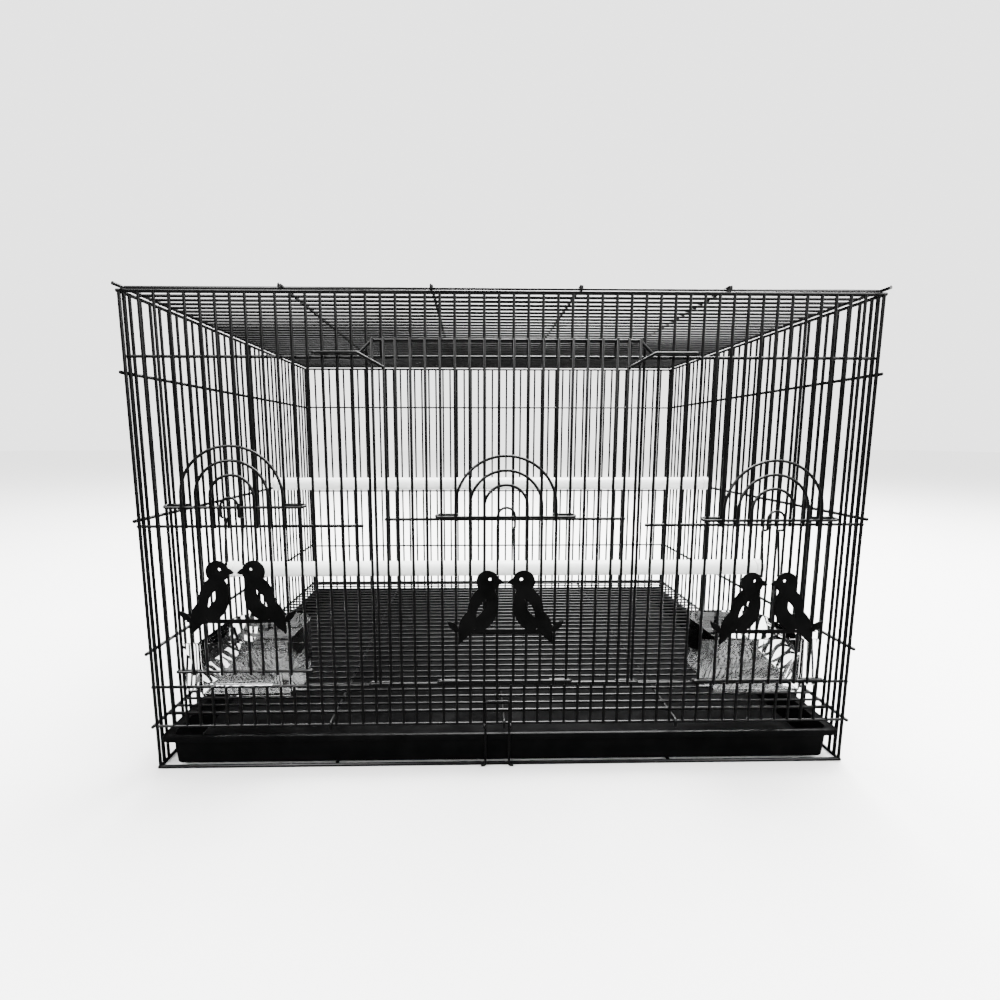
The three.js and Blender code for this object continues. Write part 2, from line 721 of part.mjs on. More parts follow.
function perch(wireIndex, z) {
  const length = 2 * (perchReach - perchEndThick - gap);
  const rod = new THREE.CylinderGeometry(perchRadius, perchRadius, length, perchSides);
  return rod.rotateZ(Math.PI / 2).translate(0, wireIndex * pitch, z);
}

// An end cap whose two prongs reach past the side wire on either side of it
function perchEnd(side, wireIndex, z) {
  const y = wireIndex * pitch;
  const cap = new THREE.CylinderGeometry(perchEndRadius, perchEndRadius, perchEndThick, perchSides);
  cap.rotateZ(Math.PI / 2).translate(side * (perchReach - perchEndThick / 2), y, z);
  const prongs = [-1, 1].map((hand) => {
    const near = y + hand * (gridWire / 2 + gap);
    const far = near + hand * prongThick;
    const inner = side * (perchReach - perchEndThick / 2);
    const outer = side * (perchReach + prongLong);
    return block(
      Math.min(inner, outer), Math.max(inner, outer), Math.min(near, far), Math.max(near, far),
      z - prongTall / 2, z + prongTall / 2);
  });
  return fuse([cap, ...prongs]);
}

// The assembly
const cage = new THREE.Group();
cage.position.y = (frontReach - backReach) / 2;

function add(name, geometry, material) {
  const mesh = new THREE.Mesh(geometry, material);
  mesh.name = name;
  cage.add(mesh);
}

add('front_panel', frontPanel(), blackWire);
add('back_panel', backPanel(), blackWire);
add('left_side_panel', sidePanel(-1), blackWire);
add('right_side_panel', sidePanel(1), blackWire);
add('roof_panel', roofPanel(), blackWire);
add('floor_grate', floorGrate(), blackWire);
add('left_base_runner', baseRunner(-runnerX), blackWire);
add('right_base_runner', baseRunner(runnerX), blackWire);
add('slide_out_tray', tray(), blackPlastic);
add('tray_clip', trayClip(), blackWire);
add('large_door', largeDoor(), blackWire);

const leftLowerZ = feederLowerZ + leftDoorRaise;
const liftDoors = [
  { name: 'centre', x: doorX, plane: largePlane, lowerZ: centreLowerZ, doorName: 'centre_door' },
  { name: 'left', x: leftFeederX, plane: 0, lowerZ: leftLowerZ, doorName: 'left_feeder_door' },
  { name: 'right', x: rightFeederX, plane: 0, lowerZ: feederLowerZ, doorName: 'right_feeder_door' },
];
for (const { name, x, plane, lowerZ, doorName } of liftDoors) {
  add(doorName, liftDoor(x, plane, lowerZ), blackWire);
  add(`${name}_catch`, catchLoop(x, plane, lowerZ), blackWire);
  add(`${name}_bird_plate`, birdPlate(x, plane, lowerZ), blackSheet);
}

add('left_cup', cup(-cupX), clearPlastic);
add('right_cup', cup(cupX), clearPlastic);

const perches = [['upper', upperPerchIndex, upperPerchZ], ['lower', lowerPerchIndex, lowerPerchZ]];
for (const [level, wireIndex, z] of perches) {
  add(`${level}_perch`, perch(wireIndex, z), whitePlastic);
  add(`${level}_perch_left_end`, perchEnd(-1, wireIndex, z), whitePlastic);
  add(`${level}_perch_right_end`, perchEnd(1, wireIndex, z), whitePlastic);
}

export default cage;
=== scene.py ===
import math

import bmesh
import bpy
from mathutils import Matrix, Vector


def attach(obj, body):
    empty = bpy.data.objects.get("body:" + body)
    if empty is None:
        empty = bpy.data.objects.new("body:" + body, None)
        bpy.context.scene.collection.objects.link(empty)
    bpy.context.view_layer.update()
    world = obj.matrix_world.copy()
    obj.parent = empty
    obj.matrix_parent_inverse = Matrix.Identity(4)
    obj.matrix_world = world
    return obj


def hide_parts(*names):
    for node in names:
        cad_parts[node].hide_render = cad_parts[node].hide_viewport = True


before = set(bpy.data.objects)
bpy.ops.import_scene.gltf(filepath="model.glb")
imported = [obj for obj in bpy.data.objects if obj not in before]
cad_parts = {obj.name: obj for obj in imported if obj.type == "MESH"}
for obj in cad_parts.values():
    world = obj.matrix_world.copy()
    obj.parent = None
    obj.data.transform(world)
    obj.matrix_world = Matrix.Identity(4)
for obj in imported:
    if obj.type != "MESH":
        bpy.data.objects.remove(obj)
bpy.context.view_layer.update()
print("frame loaded")

mm = 0.001
frontPlane = -0.19915  # metres: where the front uprights stand
touching = 1e-7  # metres: two points this close are one


def at(x, y, z):  # millimetres, with y measured back from the front uprights
    return Vector((x * mm, frontPlane + y * mm, z * mm))


# Shared sizes in millimetres. Wires are drawn a little heavy, because a bright ground thins them
cage = {
    "width": 612,
    "frontWires": 50,
    "cornerGap": 15.4,
    "pitch": 12,
    "sideGaps": 34,
    "topZ": 407,
    "grateZ": 40,
    "upright": 2.4,
    "cross": 2.6,
    "backUpright": 2.9,
    "sideUpright": 2.6,
    "sideCross": 3.1,
    "roofWire": 2.7,
    "rim": 3,
    "post": 3,
    "cornerPost": 2.6,
    "grateRail": 2.4,
    "doorBar": 2.5,
    "postInset": 0.6,
    "stopPast": 0.6,
    "sillPast": 3.6,
    "sidePast": 2,
    "weldDepth": 0.1,  # how far crossing wires sink into each other
}
halfWidth = cage["width"] / 2
frontPitch = (cage["width"] - 2 * cage["cornerGap"]) / (cage["frontWires"] - 1)
frontWires = range(1, cage["frontWires"] + 1)
depth = cage["pitch"] * cage["sideGaps"]
postX = halfWidth - cage["postInset"]
crossY = (cage["upright"] + cage["cross"]) / 2 - cage["weldDepth"]

wireLook = {
    "sides": 14, "filletSteps": 6, "endRound": 0.35, "endSteps": 2, "smoothAngle": 40,
    "straightAngle": 2, "cornerRoom": 0.48,  # an arc takes up to this share of each stretch
}
beadLook = {"spread": 1.25, "height": 0.75, "subdivisions": 1}


def wireX(n):
    return cage["cornerGap"] - halfWidth + (n - 1) * frontPitch


# Helpers that every piece uses

def linked(thing):
    bpy.context.scene.collection.objects.link(thing)
    return thing


def roundOff(mesh, geom, offset, steps, kind="EDGES", clamp=False):  # offset in millimetres
    bmesh.ops.bevel(
        mesh, geom=geom, offset=offset * mm, segments=steps, profile=0.5, affect=kind,
        clamp_overlap=clamp, material=-1)


def asObject(name, mesh):
    bmesh.ops.recalc_face_normals(mesh, faces=mesh.faces)
    data = bpy.data.meshes.new(name)
    mesh.to_mesh(data)
    mesh.free()
    return bpy.data.objects.new(name, data)


def fromData(data):
    mesh = bmesh.new()
    mesh.from_mesh(data)
    return mesh


def evaluatedData(source):  # the object's mesh with its modifiers applied
    bpy.context.view_layer.update()
    return bpy.data.meshes.new_from_object(source.evaluated_get(bpy.context.evaluated_depsgraph_get()))


def addEdgeBevel(source, look):
    edge = source.modifiers.new("edge", "BEVEL")
    edge.width, edge.segments = look["edgeRound"] * mm, look["edgeSteps"]
    edge.limit_method, edge.angle_limit = "ANGLE", look["edgeAngle"]


# Wire making

def addStraight(mesh, start, end, size, roundEnds=False):
    axis = end - start
    turn = Vector((0, 0, 1)).rotation_difference(axis).to_matrix().to_4x4()
    made = bmesh.ops.create_cone(
        mesh, cap_ends=True, segments=wireLook["sides"], radius1=size * mm / 2,
        radius2=size * mm / 2, depth=axis.length, matrix=Matrix.Translation((start + end) / 2) @ turn)
    if roundEnds:
        around = {e for v in made["verts"] for e in v.link_edges}
        rims = [e for e in around if any(len(f.verts) > 4 for f in e.link_faces)]
        roundOff(mesh, rims, size / 2 * wireLook["endRound"], wireLook["endSteps"])


def addBent(mesh, path, size):
    tangents = []
    for i, point in enumerate(path):
        into = point - path[max(i - 1, 0)]
        onward = path[min(i + 1, len(path) - 1)] - point
        tangents.append((into.normalized() + onward.normalized()).normalized())
    turn = Vector((0, 0, 1)).rotation_difference(tangents[0]).to_matrix().to_4x4()
    made = bmesh.ops.create_circle(
        mesh, cap_ends=True, segments=wireLook["sides"], radius=size * mm / 2,
        matrix=Matrix.Translation(path[0]) @ turn)
    face = made["verts"][0].link_faces[0]
    for i in range(1, len(path)):
        grown = bmesh.ops.extrude_face_region(mesh, geom=[face])
        face = next(g for g in grown["geom"] if isinstance(g, bmesh.types.BMFace))
        swing = tangents[i - 1].rotation_difference(tangents[i]).to_matrix()
        bmesh.ops.rotate(mesh, cent=path[i - 1], matrix=swing, verts=face.verts)
        bmesh.ops.translate(mesh, vec=path[i] - path[i - 1], verts=face.verts)


def filleted(corners, radius):  # the same path with an arc in place of each corner
    path = [corners[0]]
    for before, corner, after in zip(corners, corners[1:], corners[2:]):
        into, onward = (corner - before).normalized(), (after - corner).normalized()
        angle = into.angle(onward)
        if angle < math.radians(wireLook["straightAngle"]):
            path.append(corner)
            continue
        room = min((corner - before).length, (after - corner).length) * wireLook["cornerRoom"]
        setback = min(radius * mm * math.tan(angle / 2), room)
        middle = (onward - into).normalized()
        reach = setback / math.tan(angle / 2)
        centre = corner + middle * math.hypot(reach, setback)
        spoke = corner - into * setback - centre
        axis = into.cross(onward).normalized()
        for step in range(wireLook["filletSteps"] + 1):
            path.append(centre + Matrix.Rotation(angle * step / wireLook["filletSteps"], 3, axis) @ spoke)
    return path + [corners[-1]]


def addBead(mesh, point, size):  # a flattened drop of weld
    spread = size * beadLook["spread"] * mm / 2
    shape = Matrix.Diagonal((spread, spread, spread * beadLook["height"], 1))
    bmesh.ops.create_icosphere(
        mesh, subdivisions=beadLook["subdivisions"], radius=1, matrix=Matrix.Translation(point) @ shape)


def finishPiece(name, mesh, material, body, nodes):
    bmesh.ops.recalc_face_normals(mesh, faces=mesh.faces)
    data = bpy.data.meshes.new(name)
    mesh.to_mesh(data)
    mesh.free()
    for face in data.polygons:
        face.use_smooth = True
    data.set_sharp_from_angle(angle=math.radians(wireLook["smoothAngle"]))
    data.materials.clear()
    data.materials.append(material)
    piece = linked(bpy.data.objects.new(name, data))
    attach(piece, body)
    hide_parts(*nodes)
    return piece


# Surface effects that several materials share
effects = {
    "grain": {"scale": 900.0, "patchScale": 55.0, "patchDetail": 2, "patchRange": (0.35, 0.68)},
    "dust": {"amount": 0.3, "upRange": (0.55, 1.0), "scale": 420.0, "detail": 4, "range": (0.42, 0.72)},
    "scuffs": {
        "amount": 0.4, "stretches": ((40, 900, 900), (900, 60, 900)), "scale": 1.0, "detail": 2,
        "range": (0.66, 0.76),
    },
}


def newGroup(name, inputs, outputs):
    group = bpy.data.node_groups.new(name, "ShaderNodeTree")
    for label, value in inputs.items():
        socket = group.interface.new_socket(label, in_out="INPUT", socket_type="NodeSocketFloat")
        socket.default_value = value
    for label in outputs:
        group.interface.new_socket(label, in_out="OUTPUT", socket_type="NodeSocketFloat")
    return group, group.nodes.new("NodeGroupInput"), group.nodes.new("NodeGroupOutput")


def noiseNode(group, place, scale, detail=3, stretch=None):
    coords = group.nodes.new("ShaderNodeTexCoord")
    source = coords.outputs["Object"]
    if stretch:
        mapping = group.nodes.new("ShaderNodeMapping")
        mapping.inputs["Scale"].default_value = stretch
        group.links.new(source, mapping.inputs["Vector"])
        source = mapping.outputs["Vector"]
    noise = group.nodes.new("ShaderNodeTexNoise")
    noise.inputs["Detail"].default_value = detail
    noise.label = place
    group.links.new(source, noise.inputs["Vector"])
    if isinstance(scale, (int, float)):
        noise.inputs["Scale"].default_value = scale
    else:
        group.links.new(scale, noise.inputs["Scale"])
    return noise


def rampNode(group, source, low, high):
    ramp = group.nodes.new("ShaderNodeMapRange")
    ramp.inputs["From Min"].default_value = low
    ramp.inputs["From Max"].default_value = high
    group.links.new(source, ramp.inputs["Value"])
    return ramp.outputs["Result"]


def mathNode(tree, operation, first, second, clamp=False):
    node = tree.nodes.new("ShaderNodeMath")
    node.operation, node.use_clamp = operation, clamp
    tree.links.new(first, node.inputs[0])
    tree.links.new(second, node.inputs[1])
    return node.outputs[0]


def makeGrain():  # orange peel of a coat, or the fine skin of a moulding
    e = effects["grain"]
    group, given, result = newGroup("surfaceGrain", {"Scale": e["scale"]}, ["Height", "Patches"])
    fine = noiseNode(group, "grain", given.outputs["Scale"])
    broad = noiseNode(group, "patches", e["patchScale"], e["patchDetail"])
    group.links.new(fine.outputs["Fac"], result.inputs["Height"])
    group.links.new(rampNode(group, broad.outputs["Fac"], *e["patchRange"]), result.inputs["Patches"])
    return group


def makeDust():  # a little dust on what faces up
    e = effects["dust"]
    group, given, result = newGroup("settledDust", {"Amount": e["amount"]}, ["Mask"])
    facing = group.nodes.new("ShaderNodeNewGeometry")
    split = group.nodes.new("ShaderNodeSeparateXYZ")
    group.links.new(facing.outputs["Normal"], split.inputs["Vector"])
    upward = rampNode(group, split.outputs["Z"], *e["upRange"])
    noise = noiseNode(group, "dust", e["scale"], e["detail"])
    film = mathNode(group, "MULTIPLY", upward, rampNode(group, noise.outputs["Fac"], *e["range"]))
    amount = mathNode(group, "MULTIPLY", film, given.outputs["Amount"])
    group.links.new(amount, result.inputs["Mask"])
    return group


def makeScuffs():  # short fine scratches in two directions
    e = effects["scuffs"]
    group, given, result = newGroup("fineScuffs", {"Amount": e["amount"]}, ["Mask"])
    lines = []
    for stretch in e["stretches"]:
        noise = noiseNode(group, "scuff", e["scale"], e["detail"], stretch)
        lines.append(rampNode(group, noise.outputs["Fac"], *e["range"]))
    both = mathNode(group, "MAXIMUM", *lines)
    group.links.new(mathNode(group, "MULTIPLY", both, given.outputs["Amount"]), result.inputs["Mask"])
    return group


grain, dust, scuffs = makeGrain(), makeDust(), makeScuffs()


def surface(name, look):
    material = bpy.data.materials.new(name)
    material.use_nodes = True
    nodes, links = material.node_tree.nodes, material.node_tree.links
    shader = nodes["Principled BSDF"]
    for socket, value in look.get("sockets", {}).items():
        shader.inputs[socket].default_value = value

    def placed(group, **values):
        node = nodes.new("ShaderNodeGroup")
        node.node_tree = group
        for label, value in values.items():
            node.inputs[label].default_value = value
        return node

    skin = placed(grain, Scale=look["grainScale"])
    colour = nodes.new("ShaderNodeMix")
    colour.data_type = "RGBA"
    colour.inputs["A"].default_value = (*look["colour"], 1)
    colour.inputs["B"].default_value = (*look["patchColour"], 1)
    links.new(skin.outputs["Patches"], colour.inputs["Factor"])
    base = colour.outputs["Result"]
    if look.get("dust"):
        film = placed(dust, Amount=look["dust"])
        dusty = nodes.new("ShaderNodeMix")
        dusty.data_type = "RGBA"
        dusty.inputs["B"].default_value = (*look["dustColour"], 1)
        links.new(film.outputs["Mask"], dusty.inputs["Factor"])
        links.new(base, dusty.inputs["A"])
        base = dusty.outputs["Result"]
    links.new(base, shader.inputs["Base Color"])
    rough = nodes.new("ShaderNodeMapRange")
    rough.inputs["To Min"].default_value, rough.inputs["To Max"].default_value = look["roughness"]
    links.new(skin.outputs["Patches"], rough.inputs["Value"])
    roughness = rough.outputs["Result"]
    if look.get("scuffs"):
        marks = placed(scuffs, Amount=look["scuffs"])
        roughness = mathNode(material.node_tree, "ADD", roughness, marks.outputs["Mask"])
    links.new(roughness, shader.inputs["Roughness"])
    bump = nodes.new("ShaderNodeBump")
    bump.inputs["Distance"].default_value = look["grainDepth"] * mm
    bump.inputs["Strength"].default_value = look["grainStrength"]
    links.new(skin.outputs["Height"], bump.inputs["Height"])
    links.new(bump.outputs["Normal"], shader.inputs["Normal"])
    return material


finishes = {
    "coatedWire": {
        "colour": (0.0003, 0.0003, 0.00033), "patchColour": (0.0008, 0.0008, 0.0009),
        "roughness": (0.28, 0.4), "grainScale": 1100.0, "grainDepth": 0.06, "grainStrength": 0.3,
        "dust": 0.05, "dustColour": (0.03, 0.029, 0.028),
        "sockets": {"IOR": 1.5, "Specular IOR Level": 0.5},
    },
    "coatedSheet": {
        "colour": (0.0005, 0.0005, 0.0005), "patchColour": (0.0012, 0.0012, 0.0012),
        "roughness": (0.34, 0.48), "grainScale": 1300.0, "grainDepth": 0.05, "grainStrength": 0.35,
        "scuffs": 0.12, "sockets": {"IOR": 1.5, "Specular IOR Level": 0.14},
    },
    "trayPlastic": {
        "colour": (0.0005, 0.0005, 0.0006), "patchColour": (0.001, 0.001, 0.0011),
        "roughness": (0.3, 0.42), "grainScale": 750.0, "grainDepth": 0.08, "grainStrength": 0.3,
        "scuffs": 0.12, "dust": 0.03, "dustColour": (0.04, 0.039, 0.038),
        "sockets": {"IOR": 1.49, "Specular IOR Level": 0.14},
    },
    "perchPlastic": {
        "colour": (0.9, 0.915, 0.9), "patchColour": (0.85, 0.865, 0.85),
        "roughness": (0.3, 0.46), "grainScale": 500.0, "grainDepth": 0.04, "grainStrength": 0.25,
        "scuffs": 0.12,
        "sockets": {"IOR": 1.49, "Subsurface Weight": 0.12, "Subsurface Radius": (0.004, 0.004, 0.004)},
    },
    "cupPlastic": {
        "colour": (0.985, 0.99, 0.99), "patchColour": (0.975, 0.982, 0.982),
        "roughness": (0.0, 0.004), "grainScale": 60.0, "grainDepth": 0.005, "grainStrength": 0.01,
        "sockets": {"IOR": 1.42, "Transmission Weight": 1.0},
    },
}
coatedWire = surface("coatedWire", finishes["coatedWire"])
coatedSheet = surface("coatedSheet", finishes["coatedSheet"])
trayPlastic = surface("trayPlastic", finishes["trayPlastic"])
perchPlastic = surface("perchPlastic", finishes["perchPlastic"])
cupPlastic = surface("cupPlastic", finishes["cupPlastic"])
print("materials made")


# Front panel: the doorways interrupt its uprights
frontPanel = {
    "stopZ": 357, "barZ": 218, "sillZ": 75, "doorWires": (16, 35), "feederWires": ((2, 11), (40, 49)),
    "barShort": 4.8, "topPast": 1.5, "basePast": 1.9, "postBead": 0.2, "railBead": 0.9,
}


def uprightSpans(n):
    top, grate = cage["topZ"], cage["grateZ"]
    first, last = frontPanel["doorWires"]
    if first < n < last:
        head = frontPanel["stopZ"]
    elif any(a < n < b for a, b in frontPanel["feederWires"]):
        head = frontPanel["barZ"]
    else:
        return [(grate, top)]
    tip = cage["cross"] / 2
    return [(grate, frontPanel["sillZ"] + tip), (head - tip, top)]


def addCrossWithWelds(mesh, x0, x1, y, z):
    addStraight(mesh, at(x0, y, z), at(x1, y, z), cage["cross"], roundEnds=True)
    for n in frontWires:
        if x0 < wireX(n) < x1:
            addBead(mesh, at(wireX(n), y / 2 + cage["weldDepth"], z), cage["upright"])


def addRims(mesh, y):  # the thick wires along the top and the foot
    top = (cage["topZ"], halfWidth + frontPanel["topPast"])
    foot = (cage["rim"] / 2, postX + frontPanel["basePast"])
    for z, reach in (top, foot):
        addStraight(mesh, at(-reach, y, z), at(reach, y, z), cage["rim"], True)


def makeFrontPanel():
    mesh = bmesh.new()
    low, stopReach, sillReach = cage["rim"] / 2, postX + cage["stopPast"], postX + cage["sillPast"]
    first, last = frontPanel["doorWires"]
    addRims(mesh, 0)
    addStraight(mesh, at(-postX, 0, cage["grateZ"]), at(postX, 0, cage["grateZ"]), cage["grateRail"])
    for x in (-postX, postX):
        addStraight(mesh, at(x, 0, low), at(x, 0, cage["topZ"]), cage["cornerPost"])
        for z in (frontPanel["stopZ"], frontPanel["sillZ"], frontPanel["barZ"]):
            addBead(mesh, at(x, crossY / 2 + frontPanel["postBead"], z), cage["cornerPost"])
    for n in frontWires:
        for bottom, top in uprightSpans(n):
            addStraight(mesh, at(wireX(n), 0, bottom), at(wireX(n), 0, top), cage["upright"])
        for z in (cage["grateZ"], cage["topZ"]):
            addBead(mesh, at(wireX(n), frontPanel["railBead"], z), cage["upright"])
    addCrossWithWelds(mesh, -stopReach, stopReach, crossY, frontPanel["stopZ"])
    addCrossWithWelds(mesh, -sillReach, sillReach, crossY, frontPanel["sillZ"])
    inner = (wireX(first - 1) + frontPanel["barShort"], wireX(last + 1) - frontPanel["barShort"])
    addCrossWithWelds(mesh, -sillReach, inner[0], crossY, frontPanel["barZ"])
    addCrossWithWelds(mesh, inner[1], sillReach, crossY, frontPanel["barZ"])
    return finishPiece("front_wires", mesh, coatedWire, "cage", ["front_panel"])


backPanel = {"crossZ": (40, 107, 203, 344)}


def makeBackPanel():
    mesh = bmesh.new()
    low, top = cage["rim"] / 2, cage["topZ"]
    addRims(mesh, depth)
    for x in (-postX, postX):
        addStraight(mesh, at(x, depth, low), at(x, depth, top), cage["cornerPost"])
    for n in frontWires:
        addStraight(mesh, at(wireX(n), depth, low), at(wireX(n), depth, top), cage["backUpright"])
    for z in backPanel["crossZ"]:
        addStraight(mesh, at(-postX, depth - crossY, z), at(postX, depth - crossY, z), cage["cross"])
        for n in frontWires:
            addBead(mesh, at(wireX(n), depth - crossY / 2, z), cage["backUpright"])
    return finishPiece("back_wires", mesh, coatedWire, "cage", ["back_panel"])


sidePanel = {"crossZ": (40, 107, 223, 344), "railSetback": 2, "frontPost": 6, "backPost": 3.4}


def makeSidePanel(side, name, node):
    mesh = bmesh.new()
    x, crossX = side * halfWidth, side * (halfWidth + crossY)
    ends = (sidePanel["railSetback"], depth - sidePanel["railSetback"])
    for z in (cage["topZ"], cage["rim"] / 2):
        addStraight(mesh, at(x, ends[0], z), at(x, ends[1], z), cage["rim"], True)
    posts = ((sidePanel["frontPost"], cage["post"]), (depth - sidePanel["backPost"], cage["upright"]))
    for y, size in posts:
        addStraight(mesh, at(x, y, cage["rim"] / 2), at(x, y, cage["topZ"]), size)
    for n in range(1, cage["sideGaps"]):
        y = n * cage["pitch"]
        addStraight(mesh, at(x, y, cage["rim"] / 2), at(x, y, cage["topZ"]), cage["sideUpright"])
    for z in sidePanel["crossZ"]:
        past = cage["sidePast"]
        addStraight(mesh, at(crossX, -past, z), at(crossX, depth + past, z), cage["sideCross"], True)
        for n in range(1, cage["sideGaps"]):
            addBead(mesh, at(x + side * crossY / 2, n * cage["pitch"], z), cage["sideUpright"])
    return finishPiece(name, mesh, coatedWire, "cage", [node])


roofPanel = {
    "railZ": 410.1, "supportX": (-180, -60, 60, 180), "railInset": 2, "endSetback": 4, "hook": 2.6,
    "hookRound": 1.6, "railLift": 0.2, "tipOut": 2, "tipPast": 5, "tipRise": 0.7, "tipRound": 6,
    "wirePast": 2, "supportPast": 0.4,
}


def makeRoof():
    mesh = bmesh.new()
    railX, railZ = halfWidth - roofPanel["railInset"], roofPanel["railZ"]
    ends = (roofPanel["endSetback"], depth - roofPanel["endSetback"])
    supportZ, liftedZ = railZ + crossY, railZ + roofPanel["railLift"]
    for side in (-1, 1):  # each end of a side rail reaches out past the corner
        x, z, past = side * railX, liftedZ, roofPanel["tipPast"]
        tipX, tipZ = x + side * roofPanel["tipOut"], z + roofPanel["tipRise"]
        corners = [
            at(tipX, -past, tipZ), at(x, ends[0], z), at(x, ends[1], z), at(tipX, depth + past, tipZ)]
        addBent(mesh, filleted(corners, roofPanel["tipRound"]), cage["post"])
    for y in ends:
        addStraight(mesh, at(-railX, y, liftedZ), at(railX, y, liftedZ), cage["rim"], True)
    for n in range(1, cage["sideGaps"]):
        y = n * cage["pitch"]
        reach = railX + roofPanel["wirePast"]
        addStraight(mesh, at(-reach, y, railZ), at(reach, y, railZ), cage["roofWire"], True)
        for x in roofPanel["supportX"]:
            addBead(mesh, at(x, y, railZ + cage["upright"] / 2), cage["upright"])
    for x in roofPanel["supportX"]:  # each end turns down over the rim
        front, back = -roofPanel["supportPast"], depth + roofPanel["supportPast"]
        low = supportZ - roofPanel["hook"]
        corners = [at(x, front, low), at(x, front, supportZ), at(x, back, supportZ), at(x, back, low)]
        addBent(mesh, filleted(corners, roofPanel["hookRound"]), cage["cross"])
    return finishPiece("roof_wires", mesh, coatedWire, "cage", ["roof_panel"])


grate = {
    "supportX": (-153, 0, 153), "supportZ": 42.7, "reach": 304, "wireZ": 44.75,
    "hookY": -2.5, "hookZ": 37, "hookRound": 1.8, "backGap": 0.3,
}


def makeGrate():
    mesh = bmesh.new()
    backEnd = depth - cage["rim"] / 2 - grate["backGap"]
    wireZ, supportZ = grate["wireZ"], grate["supportZ"]
    for x in grate["supportX"]:  # the front end turns down over the rail
        path = [(grate["hookY"], grate["hookZ"]), (grate["hookY"], supportZ), (backEnd, supportZ)]
        corners = [at(x, y, z) for y, z in path]
        addBent(mesh, filleted(corners, grate["hookRound"]), cage["cross"])
    for n in range(1, cage["sideGaps"]):
        thick = cage["rim"] if n in (1, cage["sideGaps"] - 1) else cage["upright"]
        y = n * cage["pitch"]
        addStraight(mesh, at(-grate["reach"], y, wireZ), at(grate["reach"], y, wireZ), thick, True)
        for x in grate["supportX"]:
            addBead(mesh, at(x, y, wireZ - cage["upright"] / 2), cage["upright"])
    return finishPiece("grate_wires", mesh, coatedWire, "cage", ["floor_grate"])


runner = {"x": 150, "size": 2.8, "clear": 1.8}


def makeRunner(side, name, node):
    mesh = bmesh.new()
    x, z = side * runner["x"], cage["rim"] / 2
    addStraight(mesh, at(x, runner["clear"], z), at(x, depth - runner["clear"], z), runner["size"], True)
    return finishPiece(name, mesh, coatedWire, "cage", [node])


makeFrontPanel()
makeBackPanel()
makeSidePanel(-1, "left_side_wires", "left_side_panel")
makeSidePanel(1, "right_side_wires", "right_side_panel")
makeRoof()
makeGrate()
makeRunner(-1, "left_runner_wire", "left_base_runner")
makeRunner(1, "right_runner_wire", "right_base_runner")
print("panels made")


# Doors
feederGaps = 9  # front spaces across a small door
hook = {"back": 14, "shift": 1.8, "steps": 12, "tilt": 1.5}


def hookedPath(centreX, reach, front, back, z, tipZ):  # each end turns round a wire and comes back
    bend, middle = (back - front) / 2, (back + front) / 2
    end = []
    for i in range(hook["steps"] + 1):
        angle = math.pi * (i / hook["steps"] - 0.5)
        height = z + (tipZ - z) * i / hook["steps"]
        outward = reach + hook["shift"] + bend * math.cos(angle)
        end.append((outward, middle + bend * math.sin(angle), height))
    end.append((reach - hook["back"], back, tipZ))
    start = [(-x, y, height) for x, y, height in reversed(end)]
    return [at(centreX + x, y, height) for x, y, height in start + end]


largeDoor = {
    "half": 112.68, "edge": 107.38, "opening": 53.375, "regularColumns": 3, "narrowColumns": 2,
    "topZ": 369.3, "crossZ": 224.5, "bottomZ": 79.2, "plane": -5.4, "barY": -3.4, "hookY": 2.5,
    "crossPast": 2.5, "earZ": 358.5, "earLength": 46, "earWidth": 6, "earSlope": 11,
    "earStart": 2.4, "earRound": 4, "earWeldX": 98.2, "earWeldZ": 347.5,
}


def addEar(mesh, side):
    d = largeDoor
    bend = d["earWidth"] / 2
    outer = d["edge"] + d["earLength"] - bend
    turn = []
    for i in range(hook["steps"] + 1):
        angle = math.pi * (0.5 - i / hook["steps"])
        inward = d["barY"] - bend + bend * math.sin(angle)
        turn.append((outer + bend * math.cos(angle), inward, d["earZ"]))
    slope = d["edge"] + d["earSlope"]
    corners = [(d["edge"] - d["earStart"], d["barY"], d["topZ"]), (d["edge"], d["barY"], d["topZ"])]
    corners += [(slope, d["barY"], d["earZ"]), *turn, (slope, d["barY"] - d["earWidth"], d["earZ"])]
    corners.append((d["earWeldX"], d["plane"] - (cage["upright"] + cage["cross"]) / 2, d["earWeldZ"]))
    path = [at(side * x, y, z) for x, y, z in corners]
    addBent(mesh, filleted(path, d["earRound"]), cage["cross"])


